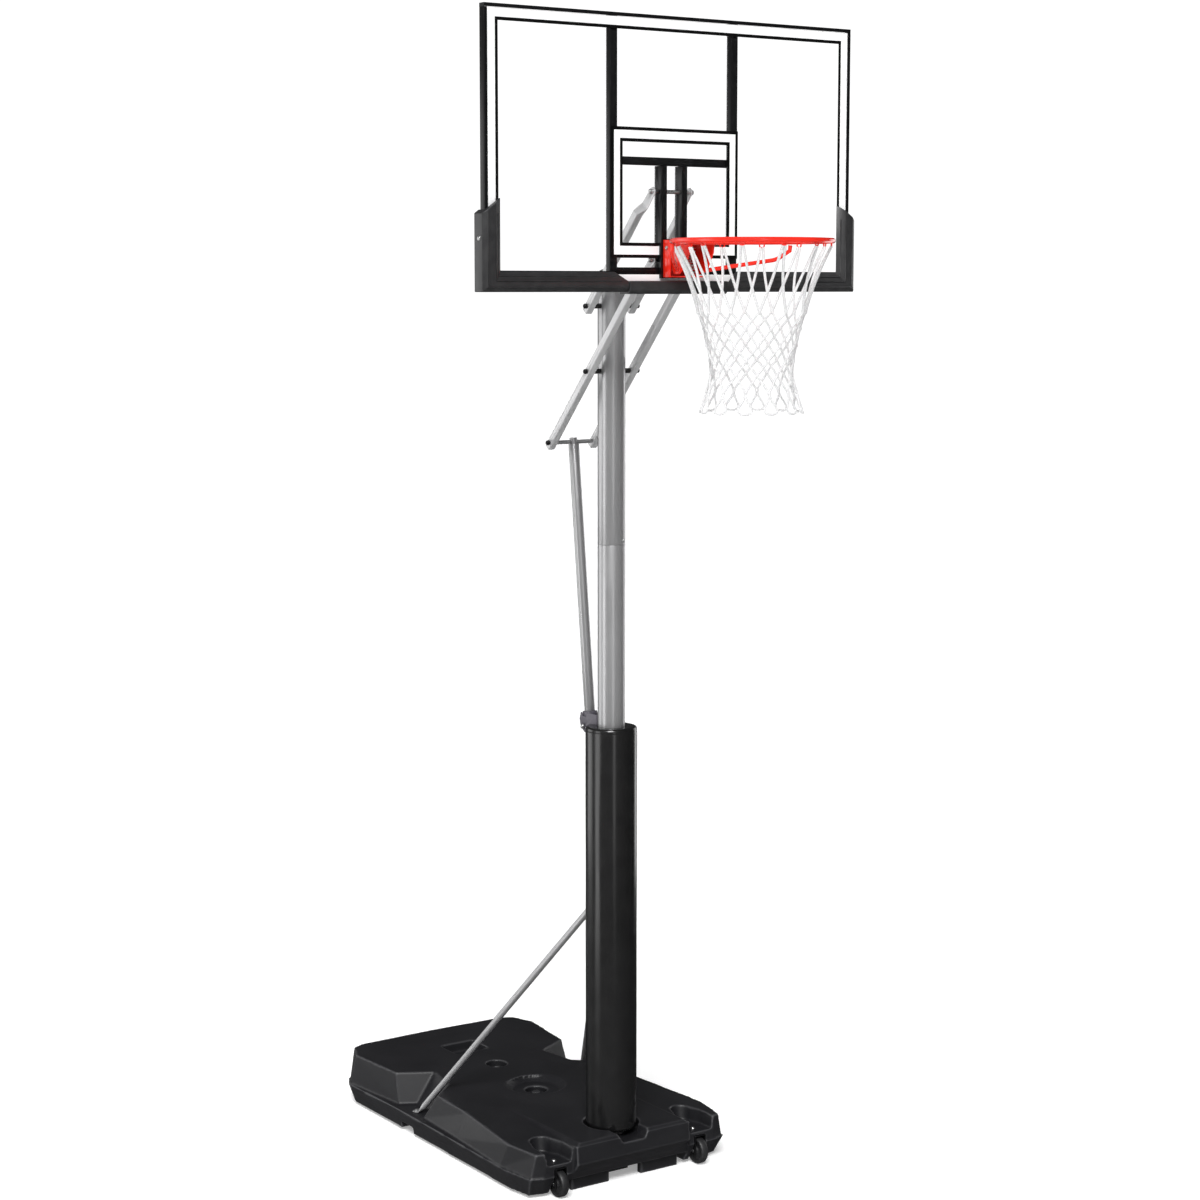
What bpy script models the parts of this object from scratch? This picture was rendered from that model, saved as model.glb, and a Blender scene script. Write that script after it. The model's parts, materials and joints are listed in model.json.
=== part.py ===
"""Portable basketball hoop.

A moulded tank on two wheels carries a three-section pole with two braces. Two pairs of parallel
arms hold the backboard, and a telescoping screw jack behind the pole swings them. The rim breaks
away downwards on a spring.

Metres, +Z up. The board faces -Y and X runs across it. The origin lies on the floor under the
pole's axis.
"""

import math

import bmesh
import bpy
from mathutils import Matrix, Vector

GAP = 0.0003                      # clearance between pieces that touch

# Tank
TANK_BOTTOM = 0.012
SKIRT_TOP = 0.076
TANK_FRONT_TOP = 0.158            # height of the top's edge at y = 0
TANK_TOP_SLOPE = 0.027            # the top rises towards the rear
TANK_CROWN = 0.003                # the middle of the top stands this much higher
LIP_HEIGHT = 0.046
NOSE_HALF_WIDTH, NOSE_TOP = 0.226, 0.170
WELL_RADIUS = 0.093
WELL_FLOOR = 0.137
DISH_Y, DISH_FLOOR_RADIUS, DISH_RADIUS, DISH_DEPTH = 0.457, 0.078, 0.110, 0.018
FILL_RADIUS = 0.038
PLUG_Y, PLUG_RADIUS = 0.715, 0.037
HANDLE_Y = 0.985

# Wheels
WHEEL_X, WHEEL_Y = 0.279, -0.106
WHEEL_RADIUS, WHEEL_WIDTH = 0.045, 0.028
WHEEL_LIFT = 0.0008               # the wheels clear the floor until the base is tipped
AXLE_RADIUS = 0.005
SHELF_LOW, SHELF_HIGH = 0.100, 0.112

# Pole
POLE_RADIUS, POLE_WALL = 0.04445, 0.0025
POLE_FOOT, POLE_TOP = 0.060, 2.955
POLE_JOINTS = (1.100, 2.090)
NECK_LENGTH = 0.080
PAD_RADIUS, PAD_BORE = 0.085, 0.0465
PAD_BOTTOM, PAD_TOP = 0.155, 1.498
PAD_SLOT = 0.042                  # half width of the pad's open back

# Braces
BRACE_RADIUS = 0.0112
BRACE_FOOT = (0.343, 0.684)
BRACE_BOLT_Z = 0.948

# Lift arms: a parallelogram in the YZ plane
LOWER_PIVOT_Z, UPPER_PIVOT_Z = 2.646, 2.852
BOARD_PIN_Y = -0.320
ARM_RISE = 0.348                  # height of a board pin above its pole pivot
ARM_X, ARM_SIZE = 0.083, 0.0254
ARM_WALL = 0.002
ARM_REAR = 0.322                  # pole pivot to rear pin
FLAT_X, FLAT_THICKNESS, FLAT_HALF_WIDTH = 0.070, 0.004, 0.014
BOLT_RADIUS = 0.006
CAP_RADIUS, CAP_LENGTH = 0.008, 0.012

# Jack
JACK_Y, JACK_Z = 0.119, 1.482
OUTER_RADIUS, INNER_RADIUS, HEAD_RADIUS = 0.0172, 0.0142, 0.0125
TUBE_WALL = 0.0025
SCREW_RADIUS = 0.008

# Backboard
BOARD_WIDTH, BOARD_HEIGHT = 1.3716, 0.8128
BOARD_TOP, BOARD_FACE = 3.7245, -0.345
RAIL_DEPTH, RAIL_LIP, RAIL_SHEET = 0.026, 0.011, 0.002
PANEL_THICKNESS = 0.0045
BAR_X, BAR_WIDTH, BAR_DEPTH = 0.2265, 0.026, 0.022
CROSSBAR_UPPER = (3.278, 3.302)
CROSSBAR_LOWER = (2.954, 2.971)
CROSSBAR_LOWER_DEPTH = 0.012
CHANNEL_X = (0.0285, 0.048)
CHANNEL_BACK, CHANNEL_BOTTOM = -0.300, 2.940

# Board pads
EDGE_PAD_X, EDGE_PAD_Z = 0.7025, 2.8965
EDGE_PAD_BACK, EDGE_PAD_FRONT = -0.310, -0.364
EDGE_PAD_TOP = 3.125
PAD_SEAM_X = 0.186

# Rim
RIM_Z = 3.046
RIM_REACH = 0.381
RING_RADIUS, RING_ROD = 0.2366, 0.008
PLATE_HALF_WIDTH, PLATE_LOW, PLATE_HIGH = 0.053, 2.941, 3.054
PLATE_BACK, PLATE_SHEET = 0.010, 0.003
HINGE_Y, HINGE_Z = -0.372, 3.030
NET_LENGTH = 0.486

ARM_LENGTH = math.hypot(BOARD_PIN_Y, ARM_RISE)
ARM_DIRECTION = Vector((0, BOARD_PIN_Y, ARM_RISE)) / ARM_LENGTH
ARM_NORMAL = Vector((0, ARM_RISE, -BOARD_PIN_Y)) / ARM_LENGTH
REAR_PIN = Vector((0, 0, LOWER_PIVOT_Z)) - ARM_DIRECTION * ARM_REAR
JACK_PIVOT = Vector((0, JACK_Y, JACK_Z))
JACK_LENGTH = (REAR_PIN - JACK_PIVOT).length
JACK_DIRECTION = (REAR_PIN - JACK_PIVOT) / JACK_LENGTH
RING_CENTRE = Vector((0, BOARD_FACE - RIM_REACH, RIM_Z))
PANEL_FRONT = BOARD_FACE + RAIL_SHEET + GAP
PANEL_BACK = PANEL_FRONT + PANEL_THICKNESS
BAR_FRONT = PANEL_BACK + GAP
BOARD_BOTTOM = BOARD_TOP - BOARD_HEIGHT

PARTS = bpy.data.collections.new("portable_basketball_hoop")
CUTTERS = bpy.data.collections.new("cutters")


# ---------------------------------------------------------------- scene and materials

def clear_scene():
    for obj in list(bpy.data.objects):
        bpy.data.objects.remove(obj, do_unlink=True)
    for collection in (PARTS, CUTTERS):
        bpy.context.scene.collection.children.link(collection)


def material(name, colour, roughness, metallic=0.0, alpha=1.0):
    made = bpy.data.materials.new(name)
    made.use_nodes = True
    shader = made.node_tree.nodes["Principled BSDF"]
    shader.inputs["Base Color"].default_value = (*colour, 1.0)
    shader.inputs["Roughness"].default_value = roughness
    shader.inputs["Metallic"].default_value = metallic
    shader.inputs["Alpha"].default_value = alpha
    return made


TANK_PLASTIC = material("tank_plastic", (0.030, 0.030, 0.032), 0.55)
BLACK_PLASTIC = material("black_plastic", (0.012, 0.012, 0.012), 0.40)
WHEEL_PLASTIC = material("wheel_plastic", (0.018, 0.018, 0.019), 0.50)
PAD_VINYL = material("pad_vinyl", (0.010, 0.010, 0.010), 0.30)
EDGE_PAD_FOAM = material("edge_pad", (0.030, 0.030, 0.031), 0.60)
SILVER_STEEL = material("silver_steel", (0.42, 0.42, 0.43), 0.32, 0.9)
ZINC_STEEL = material("zinc_steel", (0.50, 0.50, 0.50), 0.35, 1.0)
BLACK_STEEL = material("black_steel", (0.012, 0.012, 0.013), 0.40, 0.2)
RIM_STEEL = material("rim_steel", (0.80, 0.045, 0.020), 0.30, 0.1)
JACK_CASTING = material("jack_casting", (0.13, 0.12, 0.14), 0.50, 0.3)
CLEAR_ACRYLIC = material("clear_acrylic", (0.95, 0.97, 0.97), 0.04, 0.0, 0.2)
NET_CORD = material("net_cord", (0.85, 0.85, 0.85), 0.80)


# ---------------------------------------------------------------- shape helpers

def add_object(name, data, paint, collection=PARTS):
    obj = bpy.data.objects.new(name, data)
    collection.objects.link(obj)
    if paint is not None:
        data.materials.append(paint)
    return obj


def from_bmesh(name, shape, paint):
    mesh = bpy.data.meshes.new(name)
    shape.to_mesh(mesh)
    shape.free()
    return add_object(name, mesh, paint)


def block(name, low, high, paint, bevel=0.0):
    """A box between two corners."""
    low, high = Vector(low), Vector(high)
    shape = bmesh.new()
    size = Matrix.Diagonal((*(high - low), 1.0))
    bmesh.ops.create_cube(shape, size=1.0, matrix=Matrix.Translation((low + high) / 2) @ size)
    obj = from_bmesh(name, shape, paint)
    if bevel:
        rounding = obj.modifiers.new("rounding", "BEVEL")
        rounding.width = bevel
        rounding.segments = 1
    return obj


def aim(start, direction):
    """A matrix that takes +Z to a direction and the origin to a start point."""
    turn = Vector((0, 0, 1)).rotation_difference(Vector(direction)).to_matrix().to_4x4()
    return Matrix.Translation(start) @ turn


def rod(name, start, end, radius, paint, segments=16):
    """A solid round bar between two points."""
    start, end = Vector(start), Vector(end)
    shape = bmesh.new()
    length = (end - start).length
    bmesh.ops.create_cone(shape, cap_ends=True, segments=segments, radius1=radius, radius2=radius,
                          depth=length, matrix=aim((start + end) / 2, end - start))
    return from_bmesh(name, shape, paint)


def turned(name, profile, start, direction, paint, steps=24, closed=True):
    """A turned piece. The profile's (radius, height) points run down its outer side."""
    mesh = bpy.data.meshes.new(name)
    points = [(radius, 0, height) for radius, height in profile]
    edges = [(i, i + 1) for i in range(len(points) - 1)]
    if closed:
        edges.append((len(points) - 1, 0))
    mesh.from_pydata(points, edges, [])
    obj = add_object(name, mesh, paint)
    obj.matrix_world = aim(start, direction)
    screw = obj.modifiers.new("turn", "SCREW")
    screw.axis = "Z"
    screw.steps = screw.render_steps = steps
    screw.use_merge_vertices = True
    screw.merge_threshold = 0.00001
    return obj


def tube(name, start, direction, low, high, outer, inner, paint, steps=24):
    """A straight round tube between two distances along its axis."""
    profile = [(outer, high), (outer, low), (inner, low), (inner, high)]
    return turned(name, profile, start, direction, paint, steps)


def loft(name, rings, paint):
    """A closed skin over rings of equal point count, with flat ends."""
    shape = bmesh.new()
    loops = [[shape.verts.new(point) for point in ring] for ring in rings]
    count = len(loops[0])
    for lower, upper in zip(loops, loops[1:]):
        for i in range(count):
            j = (i + 1) % count
            shape.faces.new((lower[i], lower[j], upper[j], upper[i]))
    shape.faces.new(reversed(loops[0]))
    shape.faces.new(loops[-1])
    bmesh.ops.recalc_face_normals(shape, faces=shape.faces)
    return from_bmesh(name, shape, paint)


def section(centre, across, over, half_width, half_height, power=1.0, points=12):
    """A ring of points: round at power 1, nearer a rounded rectangle below it."""
    ring = []
    for i in range(points):
        angle = 2 * math.pi * (i + 0.5) / points
        u = math.copysign(abs(math.cos(angle)) ** power, math.cos(angle)) * half_width
        v = math.copysign(abs(math.sin(angle)) ** power, math.sin(angle)) * half_height
        ring.append(Vector(centre) + across * u + over * v)
    return ring


def pipe(name, points, radius, paint):
    """A round bar that follows points, as a curve."""
    curve = bpy.data.curves.new(name, "CURVE")
    curve.dimensions = "3D"
    curve.bevel_depth = radius
    curve.bevel_resolution = 2
    curve.use_fill_caps = True
    spline = curve.splines.new("POLY")
    spline.points.add(len(points) - 1)
    for target, point in zip(spline.points, points):
        target.co = (*point, 1.0)
    return add_object(name, curve, paint)


def mirrored(points):
    """A closed outline from its half at +X, which starts and ends on the centre plane."""
    left = [(-x, y) for x, y in reversed(points) if x > 0]
    return points + left


def boolean(obj, other, operation):
    for collection in list(other.users_collection):
        collection.objects.unlink(other)
    CUTTERS.objects.link(other)
    other.name = f"{obj.name}_{operation.lower()}_{len(CUTTERS.objects)}"
    other.hide_render = True
    other.display_type = "WIRE"
    modifier = obj.modifiers.new(other.name, "BOOLEAN")
    modifier.operation = operation
    modifier.object = other
    modifier.solver = "EXACT"


def cut(obj, *cutters):
    for cutter in cutters:
        boolean(obj, cutter, "DIFFERENCE")


def fuse(obj, *others):
    for other in others:
        boolean(obj, other, "UNION")


def drill(obj, start, end, radius, segments=16):
    cut(obj, rod("hole", start, end, radius, None, segments))


def pivot(name, location, *objects):
    """An empty on a joint's axis that carries the objects which turn or slide there."""
    empty = bpy.data.objects.new(name, None)
    PARTS.objects.link(empty)
    empty.location = location
    for obj in objects:
        obj.parent = empty
        obj.matrix_parent_inverse = Matrix.Translation(location).inverted()


# ---------------------------------------------------------------- tank

# Half outlines of the tank, from the middle of the rear round to the middle of the front.
BOTTOM_OUTLINE = [
    (0, 1.150), (0.300, 1.148), (0.345, 1.125), (0.374, 1.070), (0.375, 0.820), (0.376, 0.740),
    (0.377, 0.640), (0.379, 0.500), (0.382, 0.250), (0.386, 0.020), (0.372, -0.072),
    (0.325, -0.085), (0, -0.085)]
SKIRT_OUTLINE = [
    (0, 1.178), (0.310, 1.172), (0.358, 1.150), (0.390, 1.090), (0.385, 0.820), (0.385, 0.740),
    (0.387, 0.640), (0.390, 0.500), (0.397, 0.250), (0.405, 0.030), (0.388, -0.105),
    (0.345, -0.122), (0, -0.122)]
FOOT_OUTLINE = [
    (0, 1.174), (0.307, 1.168), (0.354, 1.146), (0.386, 1.090), (0.357, 0.785), (0.304, 0.757),
    (0.308, 0.655), (0.362, 0.618), (0.376, 0.380), (0.401, 0.060), (0.384, -0.101),
    (0.341, -0.118), (0, -0.118)]
TOP_OUTLINE = [
    (0, 1.168), (0.296, 1.160), (0.338, 1.140), (0.374, 1.060), (0.349, 0.823), (0.225, 0.761),
    (0.252, 0.618), (0.344, 0.543), (0.350, 0.340), (0.387, 0.025), (0.366, -0.105),
    (0.330, -0.116), (0, -0.116)]
CROWN_OUTLINE = [
    (0, 1.085), (0.210, 1.080), (0.245, 1.062), (0.268, 1.000), (0.240, 0.860), (0.155, 0.770),
    (0.172, 0.630), (0.230, 0.520), (0.240, 0.340), (0.250, 0.110), (0.238, 0.010),
    (0.210, -0.050), (0, -0.055)]


def top_height(y):
    return TANK_FRONT_TOP + TANK_TOP_SLOPE * y


def level(outline, height):
    return [(x, y, height) for x, y in mirrored(outline)]


def sloped(outline, rise):
    return [(x, y, top_height(y) + rise) for x, y in mirrored(outline)]


def tank_nose():
    """The raised block between the wheels, with a creased front face and a flat top."""
    def ring(half_width, front, height):
        back = (NOSE_TOP - TANK_FRONT_TOP) / TANK_TOP_SLOPE
        return [(-half_width, front, height), (half_width, front, height),
                (half_width, back, height), (-half_width, back, height)]
    return loft("nose", [ring(0.232, -0.100, LIP_HEIGHT), ring(NOSE_HALF_WIDTH, -0.138, 0.102),
                         ring(0.224, -0.132, NOSE_TOP - 0.010), ring(0.208, -0.122, NOSE_TOP)],
                None)


def wheel_pocket(side):
    """The cut behind and over one wheel: straight at the front, with a narrower round back."""
    def ring(half_width, radius, centre_y, height):
        centre_x = 0.2825
        arc = [math.pi * i / 10 for i in range(11)]
        points = [(centre_x + radius * math.cos(a), centre_y + radius * math.sin(a)) for a in arc]
        points += [(centre_x - half_width, -0.050), (centre_x - half_width, -0.25),
                   (centre_x + half_width, -0.25), (centre_x + half_width, -0.050)]
        return [(side * x, y, height) for x, y in points]
    return loft("pocket", [ring(0.044, 0.030, -0.012, SHELF_HIGH), ring(0.052, 0.036, -0.008, 0.150),
                           ring(0.060, 0.043, -0.004, 0.190)], None)


def pole_channel():
    """The groove that leads from the pole well to the front, wider at its top."""
    def ring(half_width, height):
        return [(-half_width, -0.2, height), (half_width, -0.2, height),
                (half_width, 0, height), (-half_width, 0, height)]
    return loft("channel", [ring(0.044, 0.141), ring(0.062, 0.175)], None)


def handle_recess():
    """A hand hold: deep at its rear lip, with a floor that ramps up to the front."""
    top = top_height(HANDLE_Y) + TANK_CROWN + 0.01
    half = 0.068
    ring = [(HANDLE_Y, top), (HANDLE_Y - 0.004, top - 0.046), (HANDLE_Y - 0.050, top - 0.046),
            (HANDLE_Y - 0.125, top - 0.010), (HANDLE_Y - 0.125, top)]
    return loft("handle", [[(x, y, z) for y, z in ring] for x in (-half, half)], None)


def round_recess(y, radius, low, high, flare=1.0):
    shape = bmesh.new()
    middle = Matrix.Translation((0, y, (low + high) / 2))
    bmesh.ops.create_cone(shape, cap_ends=True, segments=32, radius1=radius,
                          radius2=radius * flare, depth=high - low, matrix=middle)
    return from_bmesh("recess", shape, None)


def make_tank():
    tank = loft("base_tank", [level(BOTTOM_OUTLINE, TANK_BOTTOM), level(SKIRT_OUTLINE, SKIRT_TOP)],
                TANK_PLASTIC)
    upper = loft("upper", [level(FOOT_OUTLINE, SKIRT_TOP - 0.006), sloped(TOP_OUTLINE, 0),
                           sloped(CROWN_OUTLINE, TANK_CROWN)], None)
    fuse(tank, upper, tank_nose())

    # Underside: clear space below the front lip and a channel across the middle.
    cut(tank, block("lip", (-0.236, -0.2, -0.01), (0.236, 0.105, LIP_HEIGHT), None))
    cut(tank, block("channel", (-0.5, 0.655, -0.01), (0.5, 0.735, 0.034), None))
    for side in (-1, 1):
        x_low, x_high = sorted((side * 0.064, side * 0.212))
        fuse(tank, block("bar", (x_low, -0.083, 0.0), (x_high, -0.060, LIP_HEIGHT + 0.002), None))
        x_low, x_high = sorted((side * 0.250, side * 0.330))
        fuse(tank, block("foot", (x_low, 1.010, 0.0), (x_high, 1.090, 0.02), None))
    fuse(tank, block("foot", (-0.060, -0.012, 0.0), (0.060, 0.060, LIP_HEIGHT + 0.004), None))

    # Top: pole well with its channel to the front, dish, fill holes and hand hold.
    cut(tank, round_recess(0.0, WELL_RADIUS, WELL_FLOOR, 0.22))
    drill(tank, (0, 0, POLE_FOOT), (0, 0, 0.2), POLE_RADIUS + GAP, 40)
    cut(tank, pole_channel())
    dish_top = top_height(DISH_Y) + TANK_CROWN
    cut(tank, round_recess(DISH_Y, DISH_FLOOR_RADIUS, dish_top - DISH_DEPTH, dish_top + 0.002,
                           DISH_RADIUS / DISH_FLOOR_RADIUS))
    cut(tank, round_recess(DISH_Y, FILL_RADIUS, dish_top - 0.045, dish_top + 0.01))
    plug_top = top_height(PLUG_Y) + TANK_CROWN
    cut(tank, round_recess(PLUG_Y, PLUG_RADIUS, plug_top - 0.030, plug_top + 0.01))
    cut(tank, handle_recess())

    # Wheel pockets above the shelves, and slots for the wheels below them.
    for side in (-1, 1):
        cut(tank, wheel_pocket(side))
        x_low, x_high = sorted((side * (WHEEL_X - 0.022), side * (WHEEL_X + 0.022)))
        cut(tank, block("slot", (x_low, -0.25, -0.01), (x_high, -0.052, SHELF_LOW), None))


def make_tank_caps():
    dish_floor = top_height(DISH_Y) + TANK_CROWN - DISH_DEPTH
    cap_profile = [(0, 0.014), (0.014, 0.014), (0.016, 0.008), (0.034, 0.006), (0.034, 0), (0, 0)]
    turned("fill_cap", cap_profile, (0, DISH_Y, dish_floor - 0.023 + GAP), (0, 0, 1),
           TANK_PLASTIC, closed=False)
    plug_floor = top_height(PLUG_Y) + TANK_CROWN - 0.030
    plug_profile = [(0, 0.010), (0.012, 0.010), (0.014, 0.006), (0.033, 0.005), (0.033, 0), (0, 0)]
    turned("drain_plug", plug_profile, (0, PLUG_Y, plug_floor + GAP), (0, 0, 1), TANK_PLASTIC,
           closed=False)


# ---------------------------------------------------------------- wheels

def make_wheel(side, word):
    centre = Vector((side * WHEEL_X, WHEEL_Y, WHEEL_RADIUS + WHEEL_LIFT))
    half = WHEEL_WIDTH / 2
    rim, hub = WHEEL_RADIUS, 0.013
    profile = [(rim - 0.003, half - 0.001), (rim, half - 0.006), (rim, 0.006 - half),
               (rim - 0.003, 0.001 - half), (rim - 0.010, 0.001 - half), (rim - 0.014, 0.005 - half),
               (hub + 0.004, 0.005 - half), (hub, -half), (AXLE_RADIUS + GAP, -half),
               (AXLE_RADIUS + GAP, half), (hub, half), (hub + 0.004, half - 0.005),
               (rim - 0.014, half - 0.005), (rim - 0.010, half - 0.001)]
    wheel = turned(f"wheel_{word}", profile, centre, (1, 0, 0), WHEEL_PLASTIC)
    pivot(f"wheel_{word}_axis", centre, wheel)

    half_outer, sheet = 0.0214, 0.003
    x, y, z = centre
    bracket = block(f"wheel_bracket_{word}", (x - half_outer, y - 0.017, z - 0.013),
                    (x + half_outer, y + 0.023, SHELF_LOW - GAP), BLACK_STEEL)
    cut(bracket, block("inside", (x - half_outer + sheet, y - 0.1, z - 0.1),
                       (x + half_outer - sheet, y + 0.1, SHELF_LOW - GAP - sheet), None))
    ends = [(x - half_outer - 0.001, y, z), (x + half_outer + 0.001, y, z)]
    drill(bracket, *ends, AXLE_RADIUS + GAP)
    rod(f"wheel_axle_{word}", (x - half_outer, y, z), (x + half_outer, y, z), AXLE_RADIUS,
        ZINC_STEEL)


# ---------------------------------------------------------------- pole

def pole_section(name, low, high, neck):
    """One tube. All but the top one end in a swaged neck that enters the next section."""
    outer, bore = POLE_RADIUS, POLE_RADIUS - POLE_WALL
    if not neck:
        return tube(name, (0, 0, 0), (0, 0, 1), low, high, outer, bore, SILVER_STEEL, 32)
    thin = bore - GAP
    profile = [(thin, high + NECK_LENGTH), (thin, high), (outer, high), (outer, low), (bore, low),
               (bore, high - 0.010), (thin - POLE_WALL, high), (thin - POLE_WALL, high + NECK_LENGTH)]
    return turned(name, profile, (0, 0, 0), (0, 0, 1), SILVER_STEEL, 32)


def make_pole():
    lower = pole_section("pole_lower", POLE_FOOT + GAP, POLE_JOINTS[0], True)
    drill(lower, (0, -0.1, BRACE_BOLT_Z), (0, 0.1, BRACE_BOLT_Z), BOLT_RADIUS + GAP)
    pole_section("pole_middle", POLE_JOINTS[0] + GAP, POLE_JOINTS[1], True)
    upper = pole_section("pole_upper", POLE_JOINTS[1] + GAP, POLE_TOP, False)
    for height in (LOWER_PIVOT_Z, UPPER_PIVOT_Z):
        drill(upper, (-0.1, 0, height), (0.1, 0, height), BOLT_RADIUS + GAP)

    bore = POLE_RADIUS - POLE_WALL - GAP
    cap = [(0, 0.017), (0.020, 0.0155), (0.035, 0.011), (0.045, 0.003), (0.046, GAP),
           (bore, GAP), (bore, -0.025), (0, -0.025)]
    turned("pole_cap", cap, (0, 0, POLE_TOP), (0, 0, 1), BLACK_PLASTIC, closed=False)

    pad = tube("pole_pad", (0, 0, 0), (0, 0, 1), PAD_BOTTOM, PAD_TOP, PAD_RADIUS, PAD_BORE,
               PAD_VINYL, 32)
    cut(pad, block("slot", (-PAD_SLOT, 0, 0), (PAD_SLOT, 0.2, 2), None))


def make_brace(side, word, tab_y):
    """A round tube with flattened ends: one on the tank's ledge, one behind the pole."""
    foot = Vector((side * BRACE_FOOT[0], BRACE_FOOT[1], SKIRT_TOP + GAP + 0.0021))
    head = Vector((0, tab_y, BRACE_BOLT_Z))
    span = Vector((-foot.x, -foot.y + 0.058, BRACE_BOLT_Z - foot.z)).normalized()
    level_in = Vector((span.x, span.y, 0)).normalized()
    across_foot = level_in.cross(Vector((0, 0, 1)))
    over = across_foot.cross(span)
    flat, thin = 0.014, 0.002
    up_in = Vector((span.x, 0, span.z)).normalized()
    across_head = up_in.cross(Vector((0, 1, 0)))
    start = foot + level_in * 0.010 + span * 0.030
    end = head - up_in * 0.032 - span * 0.040 + Vector((0, 0.004, 0))
    rings = [
        section(foot - level_in * 0.014, across_foot, Vector((0, 0, 1)), flat * 0.7, thin, 0.4),
        section(foot - level_in * 0.008, across_foot, Vector((0, 0, 1)), flat, thin, 0.4),
        section(foot + level_in * 0.010, across_foot, Vector((0, 0, 1)), flat, thin, 0.4),
        section(start, across_foot, over, BRACE_RADIUS, BRACE_RADIUS),
        section(end, across_foot, over, BRACE_RADIUS, BRACE_RADIUS),
        section(head - up_in * 0.032, across_head, Vector((0, 1, 0)), flat, 0.0016, 0.4),
        section(head + up_in * 0.008, across_head, Vector((0, 1, 0)), flat, 0.0016, 0.4),
        section(head + up_in * 0.014, across_head, Vector((0, 1, 0)), flat * 0.7, 0.0016, 0.4)]
    brace = loft(f"brace_{word}", rings, SILVER_STEEL)
    drill(brace, head - Vector((0, 0.01, 0)), head + Vector((0, 0.01, 0)), BOLT_RADIUS + GAP)


def make_braces():
    make_brace(-1, "left", 0.0470)
    make_brace(1, "right", 0.0506)
    profile = [(0, 0.0600), (0.009, 0.0600), (0.010, 0.0585), (0.010, 0.0527), (BOLT_RADIUS, 0.0527),
               (BOLT_RADIUS, -0.0450), (0, -0.0450)]
    turned("brace_bolt", profile, (0, 0, BRACE_BOLT_Z), (0, 1, 0), ZINC_STEEL, 20, closed=False)


# ---------------------------------------------------------------- lift arms

def arm_rings(side, hinge, tail):
    """Rings from the tail of an arm to its flattened front end at the board pin."""
    x_axis = Vector((1, 0, 0))
    half = ARM_SIZE / 2

    def ring(distance, x, half_thickness, half_width, power):
        centre = hinge + ARM_DIRECTION * distance + x_axis * side * x
        return section(centre, x_axis, ARM_NORMAL, half_thickness, half_width, power, 16)

    flat = FLAT_THICKNESS / 2
    return [ring(-tail, ARM_X, half, half, 0.3),
            ring(ARM_LENGTH - 0.085, ARM_X, half, half, 0.3),
            ring(ARM_LENGTH - 0.055, FLAT_X, flat, FLAT_HALF_WIDTH + 0.002, 0.4),
            ring(ARM_LENGTH + 0.004, FLAT_X, flat, FLAT_HALF_WIDTH, 0.4),
            ring(ARM_LENGTH + 0.013, FLAT_X, flat, FLAT_HALF_WIDTH * 0.55, 0.4)]


def arm_bore(side, hinge, tail):
    """The inside of an arm's square tube, open at its tail."""
    inner = ARM_SIZE / 2 - ARM_WALL
    x_axis = Vector((1, 0, 0))
    ends = (-tail - 0.01, ARM_LENGTH - 0.100)
    return loft("bore", [section(hinge + ARM_DIRECTION * s + x_axis * side * ARM_X, x_axis,
                                 ARM_NORMAL, inner, inner, 0.3, 8) for s in ends], None)


def make_arm(name, side, pivot_z, tail, cross_pins):
    hinge = Vector((0, 0, pivot_z))
    arm = loft(name, arm_rings(side, hinge, tail), SILVER_STEEL)
    cut(arm, arm_bore(side, hinge, tail))
    for distance in (*cross_pins, ARM_LENGTH):
        point = hinge + ARM_DIRECTION * distance
        start, end = Vector((side * 0.03, 0, 0)), Vector((side * 0.12, 0, 0))
        drill(arm, point + start, point + end, BOLT_RADIUS + GAP)
    return arm


def capped_bolt(name, centre, half_length, head_radius=CAP_RADIUS, paint=BLACK_STEEL):
    """A through bolt along X with a domed cap on each end."""
    end = half_length + CAP_LENGTH
    side = [(head_radius * 0.5, end), (head_radius, end - 0.004), (head_radius, half_length),
            (BOLT_RADIUS, half_length)]
    profile = [(0, end)] + side + [(r, -h) for r, h in reversed(side)] + [(0, -end)]
    return turned(name, profile, centre, (1, 0, 0), paint, 16, closed=False)


def rear_bolt(side, word):
    """The short bolt in one arm's rear end; the jack's cross rod runs up to it."""
    inner, outer = ARM_X - ARM_SIZE / 2, ARM_X + ARM_SIZE / 2 + GAP
    profile = [(0, outer + CAP_LENGTH), (CAP_RADIUS * 0.5, outer + CAP_LENGTH),
               (CAP_RADIUS, outer + CAP_LENGTH - 0.004), (CAP_RADIUS, outer), (BOLT_RADIUS, outer),
               (BOLT_RADIUS, inner), (0, inner)]
    return turned(f"rear_bolt_{word}", profile, REAR_PIN, (side, 0, 0), BLACK_STEEL, 16,
                  closed=False)


def make_arms():
    sides = ((-1, "left"), (1, "right"))
    lower, upper = [], []
    for side, word in sides:
        lower.append(make_arm(f"lower_arm_{word}", side, LOWER_PIVOT_Z, ARM_REAR + 0.020,
                              (-ARM_REAR, 0)))
        lower.append(rear_bolt(side, word))
        upper.append(make_arm(f"upper_arm_{word}", side, UPPER_PIVOT_Z, 0.022, (0,)))
    pivot("lower_arms_axis", (0, 0, LOWER_PIVOT_Z), *lower)
    pivot("upper_arms_axis", (0, 0, UPPER_PIVOT_Z), *upper)

    reach = ARM_X + ARM_SIZE / 2 + GAP
    for level_word, height in (("lower", LOWER_PIVOT_Z), ("upper", UPPER_PIVOT_Z)):
        capped_bolt(f"{level_word}_pivot_bolt", (0, 0, height), reach)
        for side, word in sides:
            tube(f"{level_word}_spacer_{word}", (0, 0, height), (side, 0, 0),
                 POLE_RADIUS + 0.0012, ARM_X - ARM_SIZE / 2 - GAP, 0.008, BOLT_RADIUS + GAP,
                 BLACK_PLASTIC, 16)


# ---------------------------------------------------------------- jack

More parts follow.
